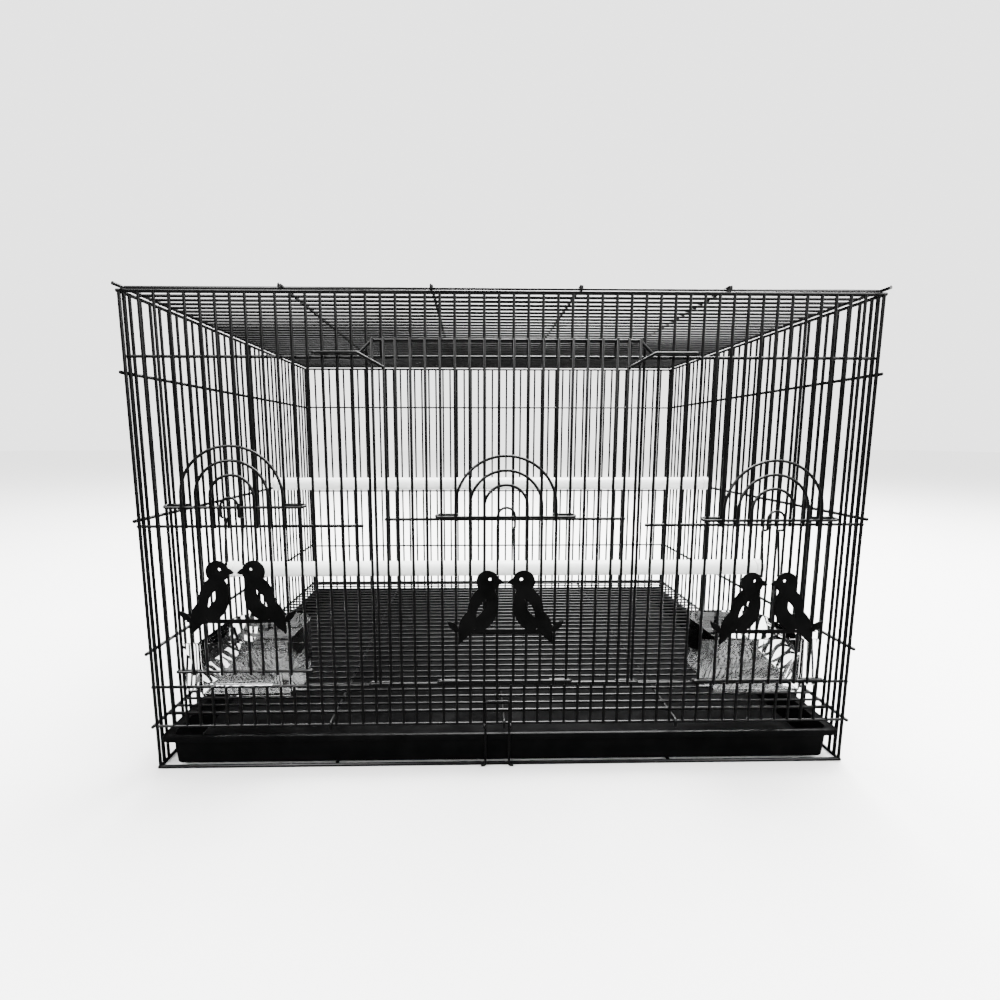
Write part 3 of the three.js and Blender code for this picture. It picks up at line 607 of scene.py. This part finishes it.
def makeLargeDoor():
    mesh = bmesh.new()
    d = largeDoor
    regularEnd = d["opening"] + d["regularColumns"] * frontPitch
    narrow = (d["edge"] - regularEnd) / d["narrowColumns"]
    crossReach = d["edge"] - narrow + d["crossPast"]
    top, bottom = d["topZ"] + cage["doorBar"] / 2, d["bottomZ"] - cage["doorBar"] / 2
    for reach, z in ((d["edge"], d["topZ"]), (crossReach, d["crossZ"])):
        addStraight(mesh, at(-reach, d["barY"], z), at(reach, d["barY"], z), cage["doorBar"], True)
    path = hookedPath(0, d["half"], d["barY"], d["hookY"], d["bottomZ"], d["bottomZ"] - hook["tilt"])
    addBent(mesh, path, cage["doorBar"])
    addEar(mesh, -1)
    addEar(mesh, 1)
    weldY = (d["plane"] + d["barY"]) / 2
    columns = [d["opening"] + n * frontPitch for n in range(d["regularColumns"])]
    columns += [regularEnd + n * narrow for n in range(d["narrowColumns"] + 1)]
    for x in [side * column for side in (-1, 1) for column in columns]:
        addStraight(mesh, at(x, d["plane"], bottom), at(x, d["plane"], top), cage["upright"], True)
        levels = [d["topZ"], d["bottomZ"]] + ([d["crossZ"]] if abs(x) < crossReach else [])
        for z in levels:
            addBead(mesh, at(x, weldY, z), cage["upright"])
    low = d["crossZ"] - cage["doorBar"] / 2
    for n in range(1, feederGaps):
        x = n * frontPitch - d["opening"]
        addStraight(mesh, at(x, d["plane"], low), at(x, d["plane"], top), cage["upright"], True)
        for z in (d["topZ"], d["crossZ"]):
            addBead(mesh, at(x, weldY, z), cage["upright"])
    return finishPiece("large_door_wires", mesh, coatedWire, "large_door", ["large_door"])


makeLargeDoor()

smallDoor = {
    "half": 53.375, "bars": 2.4, "legs": 4.3, "barRise": 143.3, "bowGaps": (7, 5, 3), "bowLift": 9.2,
    "legPast": 2, "bowSteps": 28, "legHalf": 7, "legTop": 54, "plateWeld": 1,
}
catch = {
    "half": 7, "front": 8.9, "size": 2, "loopLift": 2, "kinkY": 2.5, "kinkDrop": 10, "kinkRound": 1.5,
    "seatY": 6.2, "seat": 95.376, "seatRise": 8, "steps": 14, "round": 1.6,
}
smallDoors = [
    {"name": "centre", "x": 0, "plane": -5.4, "lowerZ": 83.4, "node": "centre_door"},
    {"name": "left", "x": -225.363, "plane": 0, "lowerZ": 91.4, "node": "left_feeder_door"},
    {"name": "right", "x": 225.363, "plane": 0, "lowerZ": 79.1, "node": "right_feeder_door"},
]


def makeSmallDoor(door):
    mesh = bmesh.new()
    d, x, plane, lower = smallDoor, door["x"], door["plane"], door["lowerZ"]
    upper, weldY = lower + d["barRise"], plane - (d["bars"] + d["legs"]) / 2
    for z, tip in ((lower, lower - hook["tilt"]), (upper, upper + hook["tilt"])):
        path = hookedPath(x, d["half"], plane - d["bars"], plane + d["bars"], z, tip)
        addBent(mesh, path, cage["cross"])
    legY, centreZ = plane - d["legs"], upper + d["bowLift"]
    for radius in [gaps * frontPitch / 2 for gaps in d["bowGaps"]]:
        bow = [at(x - radius, legY, lower - d["legPast"])]
        for i in range(d["bowSteps"] + 1):
            angle = math.pi * (1 - i / d["bowSteps"])
            bow.append(at(x + radius * math.cos(angle), legY, centreZ + radius * math.sin(angle)))
        bow.append(at(x + radius, legY, lower - d["legPast"]))
        addBent(mesh, bow, cage["upright"])
        for side in (-1, 1):
            for z in (lower, upper):
                addBead(mesh, at(x + side * radius, weldY, z), cage["upright"])
            weld = at(x + side * radius, legY - d["plateWeld"], plateZ(lower) + plate["twigY"])
            addBead(mesh, weld, cage["upright"])
    for side in (-1, 1):  # two short legs end behind the birds' heads
        legX = x + side * d["legHalf"]
        ends = at(legX, legY, lower - d["legPast"]), at(legX, legY, plateZ(lower) + d["legTop"])
        addStraight(mesh, *ends, cage["upright"], True)
        addBead(mesh, at(legX, weldY, lower), cage["upright"])
    name = door["name"]
    return finishPiece(name + "_door_wires", mesh, coatedWire, door["node"], [door["node"]])


def makeCatch(door):
    mesh = bmesh.new()
    c, x, plane, lower = catch, door["x"], door["plane"], door["lowerZ"]
    upper = lower + smallDoor["barRise"]
    seat, kink = lower + c["seat"], upper - c["kinkDrop"]
    front = plane - c["front"]
    leg = [
        (-c["half"], plane - c["seatY"], seat),
        (-c["half"], plane - c["seatY"], seat + c["seatRise"]),
        (-c["half"], plane - c["kinkY"], kink - c["kinkRound"]),
        (-c["half"], plane - c["kinkY"], kink + c["kinkRound"]),
        (-c["half"], front, kink + 2 * c["kinkRound"]),
        (-c["half"], front, kink + 4 * c["kinkRound"]),
    ]
    loop = []
    for i in range(c["steps"] + 1):
        angle = math.pi * (1 - i / c["steps"])
        height = upper + c["loopLift"] + c["half"] * math.sin(angle)
        loop.append((c["half"] * math.cos(angle), front, height))
    down = [(-px, py, pz) for px, py, pz in reversed(leg)]
    path = [at(x + px, py, pz) for px, py, pz in leg + loop + down]
    addBent(mesh, filleted(path, c["round"]), c["size"])
    node = door["name"] + "_catch"
    return finishPiece(node + "_wire", mesh, coatedWire, node, [node])


# Sheet plates: two birds that face each other on a leafy twig. Places are x, y from the bottom middle,
# then a radius, or a half width, half height and turn, or for the leaf a length, width and turn
plate = {
    "thick": 1.2, "back": 5.6, "drop": 44, "tall": 63.5, "twigHalf": 44, "twigY": 11, "twigThick": 3.6,
    "body": (19, 31, 12.5, 19.5, 0.22), "head": (15, 54, 9.5), "beakLong": 4.2, "beakDeep": 5,
    "beakTurn": 0.3, "eye": (13, 56, 1.3), "tail": (31.5, 18, 7, 20, 0.42),
    "leaf": (39, 11, 13, 5.5, 0.75), "leafOverlap": 0.8, "wing": (20.5, 31, 2.4, 9, 0.5),
    "pinch": {"beak": 0.6, "tail": 0.75, "leaf": 0.7, "wing": 0.7}, "pinchPower": 1.5,
    "sides": 48, "leafSides": 32, "smallSides": 24, "edgeRound": 0.18, "edgeSteps": 2,
    "flatAngle": 1, "rimAngle": 60, "level": 0.01,
}


def plateZ(lower):
    return lower + smallDoor["barRise"] - plate["drop"] - plate["tall"]


def sheetPart(x, y, wide, tall, turn, thick, sides=None, pinch=0):  # an oval or leaf of sheet
    mesh = bmesh.new()
    made = bmesh.ops.create_circle(mesh, cap_ends=True, segments=sides or plate["sides"], radius=1)
    for v in made["verts"]:  # pinch draws both ends to points
        v.co.x *= 1 - pinch * abs(v.co.y) ** plate["pinchPower"]
    bmesh.ops.scale(mesh, vec=(wide * mm, tall * mm, 1), verts=mesh.verts)
    bmesh.ops.rotate(mesh, cent=(0, 0, 0), matrix=Matrix.Rotation(turn, 3, "Z"), verts=mesh.verts)
    grown = bmesh.ops.extrude_face_region(mesh, geom=mesh.faces[:])
    top = [g for g in grown["geom"] if isinstance(g, bmesh.types.BMVert)]
    bmesh.ops.translate(mesh, vec=(0, 0, thick * mm), verts=top)
    bmesh.ops.translate(mesh, vec=(x * mm, y * mm, -thick * mm / 2), verts=mesh.verts)
    return asObject("sheetPart", mesh)


def combine(first, others, operation):  # joins or cuts closed shapes
    linked(first)
    for other in others:
        linked(other)
        step = first.modifiers.new("combine", "BOOLEAN")
        step.object, step.operation, step.solver = other, operation, "EXACT"
    data = evaluatedData(first)
    for used in [first, *others]:
        bpy.data.objects.remove(used)
    return bpy.data.objects.new("combined", data)


def makePlate(door):
    p, pinch, thick = plate, plate["pinch"], plate["thick"]
    solids = [sheetPart(0, p["twigY"], p["twigHalf"], p["twigThick"] / 2, 0, thick)]
    holes = []
    for side in (-1, 1):
        bx, by, bw, bt, lean = p["body"]
        hx, hy, hr = p["head"]
        solids.append(sheetPart(side * bx, by, bw, bt, side * lean, thick))
        solids.append(sheetPart(side * hx, hy, hr, hr, 0, thick))
        solids.append(sheetPart(
            side * (hx - hr), hy, p["beakLong"], p["beakDeep"] / 2, side * p["beakTurn"], thick,
            p["smallSides"], pinch["beak"]))
        tx, ty, tw, tt, ta = p["tail"]
        solids.append(sheetPart(side * tx, ty, tw, tt, side * ta, thick, p["leafSides"], pinch["tail"]))
        lx, ly, ll, lw, la = p["leaf"]
        turn = la if side > 0 else math.pi - la
        middle = (side * lx + ll / 2 * math.cos(turn), ly + ll / 2 * math.sin(turn))
        solids.append(sheetPart(
            *middle, lw / 2, ll / 2 + p["leafOverlap"], turn - math.pi / 2, thick, p["leafSides"],
            pinch["leaf"]))
        ex, ey, er = p["eye"]
        holes.append(sheetPart(side * ex, ey, er, er, 0, thick * 2, p["smallSides"]))
        wx, wy, ww, wt, wa = p["wing"]
        holes.append(sheetPart(
            side * wx, wy, ww, wt, side * wa, thick * 2, p["leafSides"], pinch["wing"]))
    body = combine(solids[0], solids[1:], "UNION")
    body = combine(body, holes, "DIFFERENCE")
    mesh = fromData(body.data)
    bpy.data.objects.remove(body)
    flatAngle, rimAngle = math.radians(p["flatAngle"]), math.radians(p["rimAngle"])
    bmesh.ops.dissolve_limit(mesh, angle_limit=flatAngle, verts=mesh.verts[:], edges=mesh.edges[:])
    rims = [e for e in mesh.edges if len(e.link_faces) == 2 and e.calc_face_angle(0) > rimAngle]
    flat = [e for e in rims if abs(e.verts[0].co.z - e.verts[1].co.z) < p["level"] * mm]
    roundOff(mesh, flat, p["edgeRound"], p["edgeSteps"], clamp=True)
    bmesh.ops.triangulate(mesh, faces=[f for f in mesh.faces if len(f.verts) > 4])
    bmesh.ops.rotate(mesh, cent=(0, 0, 0), matrix=Matrix.Rotation(math.pi / 2, 3, "X"), verts=mesh.verts)
    place = at(door["x"], door["plane"] - p["back"] - thick / 2, plateZ(door["lowerZ"]))
    bmesh.ops.translate(mesh, vec=place, verts=mesh.verts)
    node = door["name"] + "_bird_plate"
    return finishPiece(node + "_sheet", mesh, coatedSheet, door["node"], [node])


for door in smallDoors:
    makeSmallDoor(door)
    makeCatch(door)
    makePlate(door)
print("doors, catches and plates made")


# Tray: a shallow moulding with a rolled rim. Pairs are for the sides and for the front and back, and
# the roll's steps go out and up
tray = {
    "halfWide": 302.5, "front": -1.6, "back": 406, "rimZ": 31, "floorZ": 3.3, "sheet": 1.6,
    "lip": (8, 2.3), "draft": (2.5, 0.2), "skirt": 4.4, "corner": 6, "cornerSteps": 6, "floorRound": 1,
    "footSteps": 4, "roll": ((0.6, -0.3), (0.4, -1)), "edgeRound": 0.4, "edgeSteps": 2, "edgeAngle": 1.0,
}


def makeTray():
    t = tray
    mesh = bmesh.new()
    wide, long = 2 * t["halfWide"], t["back"] - t["front"]
    centre = at(0, (t["front"] + t["back"]) / 2, 0)
    insets = [lip + draft + t["floorRound"] for lip, draft in zip(t["lip"], t["draft"])]
    bmesh.ops.create_grid(mesh, x_segments=1, y_segments=1, size=0.5)
    bmesh.ops.scale(
        mesh, vec=((wide - 2 * insets[0]) * mm, (long - 2 * insets[1]) * mm, 1), verts=mesh.verts)
    roundOff(mesh, mesh.verts[:], t["corner"], t["cornerSteps"], kind="VERTICES")
    floorTop = Vector((0, 0, (t["floorZ"] + t["sheet"]) * mm))
    bmesh.ops.translate(mesh, vec=centre + floorTop, verts=mesh.verts)
    rise = t["rimZ"] - t["sheet"] / 2 - t["floorZ"] - t["sheet"]

    def grow(outX, outY, up):  # carries the open edge outwards and up
        edges = [e for e in mesh.edges if e.is_boundary]
        grown = bmesh.ops.extrude_edge_only(mesh, edges=edges)
        moved = [g for g in grown["geom"] if isinstance(g, bmesh.types.BMVert)]
        spans = [max(v.co[k] for v in moved) - min(v.co[k] for v in moved) for k in (0, 1)]
        factors = [(span + 2 * out * mm) / span for span, out in zip(spans, (outX, outY))]
        toCentre = Matrix.Translation(-centre)
        bmesh.ops.scale(mesh, vec=(*factors, 1), space=toCentre, verts=moved)
        bmesh.ops.translate(mesh, vec=(0, 0, up * mm), verts=moved)

    for i in range(t["footSteps"]):  # rounded foot of the wall
        low, high = (math.pi / 2 * n / t["footSteps"] for n in (i, i + 1))
        out, up = math.sin(high) - math.sin(low), math.cos(low) - math.cos(high)
        grow(t["floorRound"] * out, t["floorRound"] * out, t["floorRound"] * up)
    grow(*t["draft"], rise - t["floorRound"])
    rollOut, rollUp = (sum(step[k] for step in t["roll"]) for k in (0, 1))
    grow(t["lip"][0] - rollOut, t["lip"][1] - rollOut, 0)
    for out, up in t["roll"]:
        grow(out, out, up)
    grow(0, 0, -rollUp - t["skirt"])
    data = bpy.data.meshes.new("trayShell")
    mesh.to_mesh(data)
    mesh.free()
    shell = linked(bpy.data.objects.new("trayShell", data))
    wall = shell.modifiers.new("wall", "SOLIDIFY")
    wall.thickness, wall.offset, wall.use_even_offset = t["sheet"] * mm, 0, True
    addEdgeBevel(shell, t)
    solid = fromData(evaluatedData(shell))
    bpy.data.objects.remove(shell)
    return finishPiece("tray_moulding", solid, trayPlastic, "tray", ["slide_out_tray"])


makeTray()

trayClip = {
    "x": -6, "half": 10.5, "y": -3.1, "topZ": 62, "foot": 4, "footZ": 1.5, "size": 2, "eyeZ": 40,
    "eyeRadius": 1.5, "eyeSteps": 20, "eyeHalf": 3, "eyeSide": 1.1, "round": 2,
}


def makeTrayClip():
    mesh = bmesh.new()
    c = trayClip
    up = [(-c["half"] - c["foot"], c["y"], c["footZ"]), (-c["half"], c["y"], c["footZ"])]
    low, high = c["eyeZ"] - c["eyeHalf"], c["eyeZ"] + c["eyeHalf"]
    up.append((-c["half"], c["y"], low))
    for i in range(c["eyeSteps"] + 1):  # the eye is one turn of wire
        angle = 2 * math.pi * i / c["eyeSteps"]
        sideways = c["eyeSide"] * math.sin(math.pi * i / c["eyeSteps"])
        up.append((
            -c["half"] - sideways, c["y"] - c["eyeRadius"] * (1 - math.cos(angle)),
            c["eyeZ"] + c["eyeRadius"] * math.sin(angle)))
    up += [(-c["half"], c["y"], high), (-c["half"], c["y"], c["topZ"])]
    path = [at(c["x"] + x, y, z) for x, y, z in up + [(-x, y, z) for x, y, z in reversed(up)]]
    addBent(mesh, filleted(path, c["round"]), c["size"])
    return finishPiece("tray_clip_wire", mesh, coatedWire, "tray_clip", ["tray_clip"])


makeTrayClip()
print("tray and clip made")


# Cups: a clear bowl whose front wall carries a wing on each side
cup = {
    "x": 228, "half": 40, "front": 3.9, "depth": 72, "rimZ": 114, "footZ": 63.5, "sheet": 1.6,
    "backRound": 22, "backSteps": 10, "frontRound": 2.5, "frontSteps": 4, "leastRound": 0.6,
    "footRound": 4, "hollowFootRound": 3, "footSteps": 4, "hollowPast": 5,
    "wingHalf": 54.5, "wingZ": 71, "wingRound": 3, "wingSteps": 5, "faceGap": 0.05,
    "ledgeHalf": 24, "ledgeReach": 3, "ledgeZ": 76.4, "ledgeThick": 2,
    "edgeRound": 0.3, "edgeSteps": 2, "edgeAngle": 0.7,
}


def block(x0, x1, y0, y1, z0, z1):
    mesh = bmesh.new()
    low, high = at(x0, y0, z0), at(x1, y1, z1)
    bmesh.ops.create_cube(mesh, size=1)
    bmesh.ops.scale(mesh, vec=high - low, verts=mesh.verts)
    bmesh.ops.translate(mesh, vec=(low + high) / 2, verts=mesh.verts)
    return mesh


def edgesAlong(mesh, axis):  # 1 is front to back, 2 is upright
    return [
        e for e in mesh.edges
        if all(abs(e.verts[0].co[k] - e.verts[1].co[k]) < touching for k in range(3) if k != axis)]


def makeCup(centreX, body):
    c = cup
    back = c["front"] + c["depth"]
    middleY = at(0, (c["front"] + back) / 2, 0).y

    def bowlShape(inset, z0, z1, footRound):
        reach = c["half"] - inset
        mesh = block(centreX - reach, centreX + reach, c["front"] + inset, back - inset, z0, z1)
        for isBack, end in ((True, "back"), (False, "front")):
            edges = [e for e in edgesAlong(mesh, 2) if (e.verts[0].co.y > middleY) == isBack]
            roundOff(mesh, edges, max(c[end + "Round"] - inset, c["leastRound"]), c[end + "Steps"])
        lowest = min(v.co.z for v in mesh.verts)
        foot = [e for e in mesh.edges if all(abs(v.co.z - lowest) < touching for v in e.verts)]
        roundOff(mesh, foot, footRound, c["footSteps"])
        return asObject("bowlShape", mesh)

    bowl = bowlShape(0, c["footZ"], c["rimZ"], c["footRound"])
    hollow = bowlShape(
        c["sheet"], c["footZ"] + c["sheet"], c["rimZ"] + c["hollowPast"], c["hollowFootRound"])
    wings = block(  # its back and top stay a hair off the bowl's, so that the two join cleanly
        centreX - c["wingHalf"], centreX + c["wingHalf"], c["front"],
        c["front"] + c["sheet"] - c["faceGap"], c["wingZ"], c["rimZ"] - c["faceGap"])
    roundOff(wings, edgesAlong(wings, 1), c["wingRound"], c["wingSteps"])
    ledge = block(
        centreX - c["ledgeHalf"], centreX + c["ledgeHalf"], c["front"] - c["ledgeReach"],
        c["front"] + c["sheet"] / 2, c["ledgeZ"], c["ledgeZ"] + c["ledgeThick"])
    whole = combine(bowl, [asObject("wings", wings), asObject("ledge", ledge)], "UNION")
    whole = combine(whole, [hollow], "DIFFERENCE")
    addEdgeBevel(linked(whole), c)
    solid = fromData(evaluatedData(whole))
    bpy.data.objects.remove(whole)
    return finishPiece(body + "_moulding", solid, cupPlastic, body, [body])


makeCup(-cup["x"], "left_cup")
makeCup(cup["x"], "right_cup")
print("cups made")


# Perches: plastic rods with forked ends
perch = {
    "radius": 8.5, "reach": 304.7, "endThick": 7, "gap": 0.3, "sides": 48, "endRadius": 9.2,
    "prongLong": 5, "prongThick": 2.2, "prongTall": 9, "prongRound": 0.5, "prongSteps": 2, "wireHalf": 1,
    "chamfer": 0.8, "chamferSteps": 3, "seam": 0.35, "seamBand": 0.05, "seamEnds": 2,
}
perches = [
    {"name": "upper", "wire": 22, "z": 228.9},
    {"name": "lower", "wire": 11, "z": 144},
]


def rodMesh(x0, x1, y, z, radius):
    mesh = bmesh.new()
    turn = Matrix.Rotation(math.pi / 2, 4, "Y")
    bmesh.ops.create_cone(
        mesh, cap_ends=True, segments=perch["sides"], radius1=radius * mm, radius2=radius * mm,
        depth=abs(x1 - x0) * mm, matrix=Matrix.Translation(at((x0 + x1) / 2, y, z)) @ turn)
    rims = [e for e in mesh.edges if any(len(f.verts) > 4 for f in e.link_faces)]
    roundOff(mesh, rims, perch["chamfer"], perch["chamferSteps"])
    return mesh


def makePerch(spec):
    p = perch
    y = spec["wire"] * cage["pitch"]
    rodReach = p["reach"] - p["endThick"] - p["gap"]
    rod = rodMesh(-rodReach, rodReach, y, spec["z"], p["radius"])
    centre = at(0, y, spec["z"])
    for v in rod.verts:  # the mould's seam runs along the front and the back
        if abs(v.co.z - centre.z) < p["seamBand"] * mm and abs(v.co.x) < (rodReach - p["seamEnds"]) * mm:
            v.co.y += math.copysign(p["seam"] * mm, v.co.y - centre.y)
    node = spec["name"] + "_perch"
    finishPiece(node + "_rod", rod, perchPlastic, "cage", [node])
    for side, hand in ((-1, "left"), (1, "right")):
        inner, outer = side * (p["reach"] - p["endThick"]), side * p["reach"]
        cap = rodMesh(min(inner, outer), max(inner, outer), y, spec["z"], p["endRadius"])
        prongs = []
        for way in (-1, 1):
            near = y + way * (p["wireHalf"] + p["gap"])
            far = near + way * p["prongThick"]
            start, tip = side * (p["reach"] - p["endThick"] / 2), side * (p["reach"] + p["prongLong"])
            prong = block(
                min(start, tip), max(start, tip), min(near, far), max(near, far),
                spec["z"] - p["prongTall"] / 2, spec["z"] + p["prongTall"] / 2)
            roundOff(prong, prong.edges[:], p["prongRound"], p["prongSteps"])
            prongs.append(asObject("prong", prong))
        whole = combine(asObject("cap", cap), prongs, "UNION")
        solid = fromData(whole.data)
        bpy.data.objects.remove(whole)
        name = f"{node}_{hand}_end"
        finishPiece(name + "_fork", solid, perchPlastic, "cage", [name])


for spec in perches:
    makePerch(spec)
print("perches made")


# Floor, light and camera
studio = {
    "floorSize": 24, "floorColour": (0.9, 0.9, 0.895), "glossyFloor": (0.03, 0.03, 0.03),
    "floorRoughness": 0.9, "floorSpecular": 0,
    "skyColour": (1.0, 1.0, 0.995), "skyStrength": 2.9, "glossySky": 0.1, "aim": (0, 0, 0.2),
    "lights": [
        {"name": "keyLight", "place": (-1.4, -1.3, 1.8), "size": 0.9, "power": 55},
        {"name": "fillLight", "place": (1.6, -1.0, 1.2), "size": 0.9, "power": 22},
        {"name": "topLight", "place": (0.5, 0.6, 2.2), "size": 1.8, "power": 420},
    ],
}


def unlessMirrored(tree, seen, mirrored):  # reflections get a darker studio, so black wires stay black
    mix = tree.nodes.new("ShaderNodeMix")
    mix.data_type, mix.clamp_result = "RGBA", False
    mix.inputs["A"].default_value, mix.inputs["B"].default_value = (*seen, 1), (*mirrored, 1)
    path = tree.nodes.new("ShaderNodeLightPath")
    # what is seen through the clear cups keeps its brightness
    only = mathNode(
        tree, "SUBTRACT", path.outputs["Is Glossy Ray"], path.outputs["Is Transmission Ray"], clamp=True)
    tree.links.new(only, mix.inputs["Factor"])
    return mix.outputs["Result"]


def makeStudio():
    data = bpy.data.meshes.new("floorSheet")
    mesh = bmesh.new()
    bmesh.ops.create_grid(mesh, x_segments=1, y_segments=1, size=studio["floorSize"] / 2)
    mesh.to_mesh(data)
    mesh.free()
    floor = linked(bpy.data.objects.new("floorSheet", data))
    paper = bpy.data.materials.new("floorPaper")
    paper.use_nodes = True
    tree = paper.node_tree
    shader = tree.nodes["Principled BSDF"]
    shader.inputs["Roughness"].default_value = studio["floorRoughness"]
    shader.inputs["Specular IOR Level"].default_value = studio["floorSpecular"]
    colour = unlessMirrored(tree, studio["floorColour"], studio["glossyFloor"])
    tree.links.new(colour, shader.inputs["Base Color"])
    data.materials.append(paper)
    sky = bpy.data.worlds.new("studioSky")
    sky.use_nodes = True
    bpy.context.scene.world = sky
    glow = sky.node_tree.nodes["Background"]
    tint, strengths = studio["skyColour"], (studio["skyStrength"], studio["glossySky"])
    seen, mirrored = [[channel * strength for channel in tint] for strength in strengths]
    sky.node_tree.links.new(unlessMirrored(sky.node_tree, seen, mirrored), glow.inputs["Color"])
    glow.inputs["Strength"].default_value = 1
    for light in studio["lights"]:
        lamp = bpy.data.lights.new(light["name"], "AREA")
        lamp.size, lamp.energy = light["size"], light["power"]
        holder = linked(bpy.data.objects.new(light["name"], lamp))
        holder.location = light["place"]
        aim = Vector(studio["aim"]) - Vector(light["place"])
        holder.rotation_euler = aim.to_track_quat("-Z", "Y").to_euler()


view = {
    "place": (-27.14, -382.88, 290.55), "down": 6.8, "turn": 0.95, "lens": 16.572,
    "shiftX": 0.01945, "shiftY": -0.00555, "sensor": 36, "nearest": 0.01,
}


def makeCamera():
    camera = linked(bpy.data.objects.new("camera", bpy.data.cameras.new("camera")))
    camera.data.lens, camera.data.sensor_width = view["lens"], view["sensor"]
    camera.data.shift_x, camera.data.shift_y = view["shiftX"], view["shiftY"]
    camera.data.clip_start = view["nearest"]
    camera.location = at(*view["place"])
    camera.rotation_euler = (math.radians(90 - view["down"]), 0, -math.radians(view["turn"]))
    bpy.context.scene.camera = camera


makeStudio()
makeCamera()
print("studio made")
